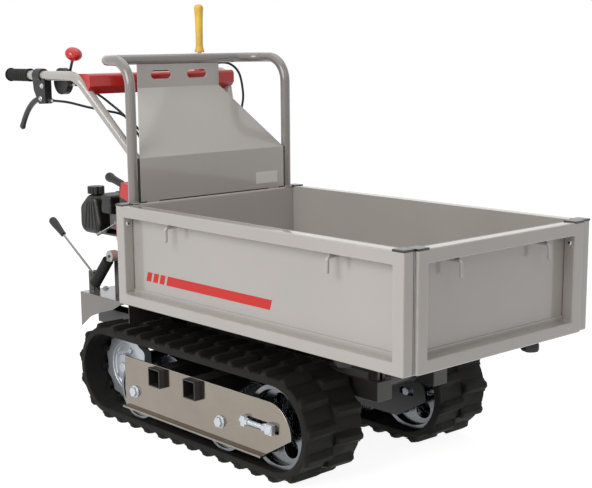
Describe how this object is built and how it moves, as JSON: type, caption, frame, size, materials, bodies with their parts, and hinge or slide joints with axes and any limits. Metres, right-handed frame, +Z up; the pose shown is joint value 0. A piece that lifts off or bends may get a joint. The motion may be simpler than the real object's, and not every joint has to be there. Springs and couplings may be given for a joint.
{
  "type": "tracked power carrier",
  "caption": "Walk-behind rubber-track carrier with a petrol engine, handlebar controls and a forward-tipping load bed whose sides slide out.",
  "frame": {"origin": "on the ground under the middle of the machine's overall length, width and height box", "axes": "+X forward in the direction of travel, +Y to the machine's left, +Z up"},
  "size_m": [1.706, 0.67, 1.158],
  "materials": {
    "body_paint": "semi-gloss warm light grey paint",
    "frame_paint": "satin black paint",
    "plate_steel": "oiled rolled steel",
    "zinc": "bright zinc plate",
    "rubber": "matt black moulded rubber",
    "black_plastic": "matt black moulded plastic",
    "red_paint": "glossy red paint",
    "red_plastic": "glossy red plastic",
    "yellow_plastic": "glossy yellow dipped plastic",
    "cast_metal": "bead-blasted cast aluminium",
    "exhaust_steel": "heat-tinted steel"
  },
  "bodies": {
    "chassis": {"chassis_frame": "frame_paint", "undercarriage": "frame_paint", "right_side_plate": "plate_steel", "left_side_plate": "plate_steel", "right_track": "rubber", "left_track": "rubber", "tensioners": "zinc", "wheel_axles": "zinc", "tip_pins": "zinc", "gearbox": "frame_paint", "engine_plate": "body_paint", "engine_block": "cast_metal", "engine_shroud": "black_plastic", "starter_cover": "red_paint", "fuel_tank": "black_plastic", "air_filter": "black_plastic", "muffler": "exhaust_steel", "belt_guard": "frame_paint", "handlebar": "body_paint", "hand_grips": "rubber", "lever_brackets": "black_plastic", "throttle_base": "black_plastic", "control_panel": "red_paint", "control_cables": "rubber"},
    "right_drive": {"right_sprocket": "zinc"},
    "left_drive": {"left_sprocket": "zinc"},
    "right_idler_wheel": {"right_idler": "zinc"},
    "left_idler_wheel": {"left_idler": "zinc"},
    "right_rear_wheel": {"right_rear_roller": "zinc"},
    "right_front_wheel": {"right_front_roller": "zinc"},
    "left_rear_wheel": {"left_rear_roller": "zinc"},
    "left_front_wheel": {"left_front_roller": "zinc"},
    "bed": {"bed_floor": "body_paint", "bed_subframe": "body_paint", "rear_wall": "body_paint", "hoop": "body_paint", "guard": "body_paint"},
    "right_side": {"right_panel": "body_paint", "right_caps": "black_plastic"},
    "left_side": {"left_panel": "body_paint", "left_caps": "black_plastic"},
    "front_side": {"front_panel": "body_paint", "front_caps": "black_plastic"},
    "right_screw": {"right_clamp": "black_plastic"},
    "left_screw": {"left_clamp": "black_plastic"},
    "front_screw": {"front_clamp": "black_plastic"},
    "right_steering": {"right_steer_lever": "frame_paint"},
    "left_steering": {"left_steer_lever": "frame_paint"},
    "throttle": {"throttle_lever": "frame_paint", "throttle_knob": "red_plastic"},
    "clutch": {"clutch_lever": "zinc", "clutch_grip": "yellow_plastic"},
    "gear": {"gear_lever": "zinc", "gear_grip": "black_plastic"},
    "latch": {"latch_lever": "zinc", "latch_grip": "rubber"},
    "starter": {"starter_handle": "black_plastic"},
    "tank_cap": {"fuel_cap": "black_plastic"},
    "choke": {"choke_lever": "zinc"}
  },
  "joints": [
    {"name": "right_sprocket_spin", "type": "hinge", "parent": "chassis", "child": "right_drive", "pos_m": [-0.307, -0.235, 0.138], "axis": [0, 1, 0], "continuous": true},
    {"name": "right_idler_spin", "type": "hinge", "parent": "chassis", "child": "right_idler_wheel", "pos_m": [0.408, -0.235, 0.138], "axis": [0, 1, 0], "continuous": true},
    {"name": "right_rear_roller_spin", "type": "hinge", "parent": "chassis", "child": "right_rear_wheel", "pos_m": [-0.162, -0.24, 0.1103], "axis": [0, 1, 0], "continuous": true},
    {"name": "right_front_roller_spin", "type": "hinge", "parent": "chassis", "child": "right_front_wheel", "pos_m": [0.21, -0.24, 0.1103], "axis": [0, 1, 0], "continuous": true},
    {"name": "left_sprocket_spin", "type": "hinge", "parent": "chassis", "child": "left_drive", "pos_m": [-0.307, 0.235, 0.138], "axis": [0, 1, 0], "continuous": true},
    {"name": "left_idler_spin", "type": "hinge", "parent": "chassis", "child": "left_idler_wheel", "pos_m": [0.408, 0.235, 0.138], "axis": [0, 1, 0], "continuous": true},
    {"name": "left_rear_roller_spin", "type": "hinge", "parent": "chassis", "child": "left_rear_wheel", "pos_m": [-0.162, 0.24, 0.1103], "axis": [0, 1, 0], "continuous": true},
    {"name": "left_front_roller_spin", "type": "hinge", "parent": "chassis", "child": "left_front_wheel", "pos_m": [0.21, 0.24, 0.1103], "axis": [0, 1, 0], "continuous": true},
    {"name": "bed_tip", "type": "hinge", "parent": "chassis", "child": "bed", "pos_m": [0.543, 0, 0.295], "axis": [0, 1, 0], "range_deg": [0, 45]},
    {"name": "right_side_slide", "type": "slide", "parent": "bed", "child": "right_side", "axis": [0, -1, 0], "range_m": [0, 0.15]},
    {"name": "left_side_slide", "type": "slide", "parent": "bed", "child": "left_side", "axis": [0, 1, 0], "range_m": [0, 0.15]},
    {"name": "front_side_slide", "type": "slide", "parent": "bed", "child": "front_side", "axis": [1, 0, 0], "range_m": [0, 0.13]},
    {"name": "right_clamp_turn", "type": "hinge", "parent": "bed", "child": "right_screw", "pos_m": [0.573, -0.24, 0.35], "axis": [0, 0, 1], "range_deg": [0, 90]},
    {"name": "left_clamp_turn", "type": "hinge", "parent": "bed", "child": "left_screw", "pos_m": [0.573, 0.24, 0.35], "axis": [0, 0, 1], "range_deg": [0, 90]},
    {"name": "front_clamp_turn", "type": "hinge", "parent": "bed", "child": "front_screw", "pos_m": [0.783, 0.18, 0.35], "axis": [0, 0, 1], "range_deg": [0, 90]},
    {"name": "right_steer_pull", "type": "hinge", "parent": "chassis", "child": "right_steering", "pos_m": [-0.657, -0.268, 0.888], "axis": [0, 1, 0], "range_deg": [0, 25], "stiffness_Nm_per_rad": 6, "springref_deg": -11.46},
    {"name": "left_steer_pull", "type": "hinge", "parent": "chassis", "child": "left_steering", "pos_m": [-0.657, 0.268, 0.888], "axis": [0, 1, 0], "range_deg": [0, 25], "stiffness_Nm_per_rad": 6, "springref_deg": -11.46},
    {"name": "throttle_turn", "type": "hinge", "parent": "chassis", "child": "throttle", "pos_m": [-0.589, -0.227, 0.939], "axis": [0, 1, 0], "range_deg": [-60, 10]},
    {"name": "clutch_swing", "type": "hinge", "parent": "chassis", "child": "clutch", "pos_m": [-0.452, 0.152, 0.98], "axis": [0, 1, 0], "range_deg": [-15, 15]},
    {"name": "gear_swing", "type": "hinge", "parent": "chassis", "child": "gear", "pos_m": [-0.612, -0.15, 0.352], "axis": [0, 1, 0], "range_deg": [-15, 15]},
    {"name": "latch_lift", "type": "hinge", "parent": "chassis", "child": "latch", "pos_m": [-0.472, -0.18, 0.43], "axis": [0, 1, 0], "range_deg": [0, 30], "stiffness_Nm_per_rad": 8, "springref_deg": -17.19},
    {"name": "starter_pull", "type": "slide", "parent": "chassis", "child": "starter", "axis": [-0.9703, 0, 0.2419], "range_m": [0, 0.09], "stiffness_N_per_m": 150, "springref_m": -0.05},
    {"name": "fuel_cap_turn", "type": "hinge", "parent": "chassis", "child": "tank_cap", "pos_m": [-0.667, -0.096, 0.592], "axis": [0, 0, 1], "range_deg": [0, 90]},
    {"name": "choke_turn", "type": "hinge", "parent": "chassis", "child": "choke", "pos_m": [-0.547, -0.105, 0.512], "axis": [0, 1, 0], "range_deg": [0, 35]}
  ],
  "couplings": [
    {"joint": "right_idler_spin", "follows": "right_sprocket_spin", "ratio": 1},
    {"joint": "right_rear_roller_spin", "follows": "right_sprocket_spin", "ratio": 1.4432},
    {"joint": "right_front_roller_spin", "follows": "right_sprocket_spin", "ratio": 1.4432},
    {"joint": "left_idler_spin", "follows": "left_sprocket_spin", "ratio": 1},
    {"joint": "left_rear_roller_spin", "follows": "left_sprocket_spin", "ratio": 1.4432},
    {"joint": "left_front_roller_spin", "follows": "left_sprocket_spin", "ratio": 1.4432}
  ]
}
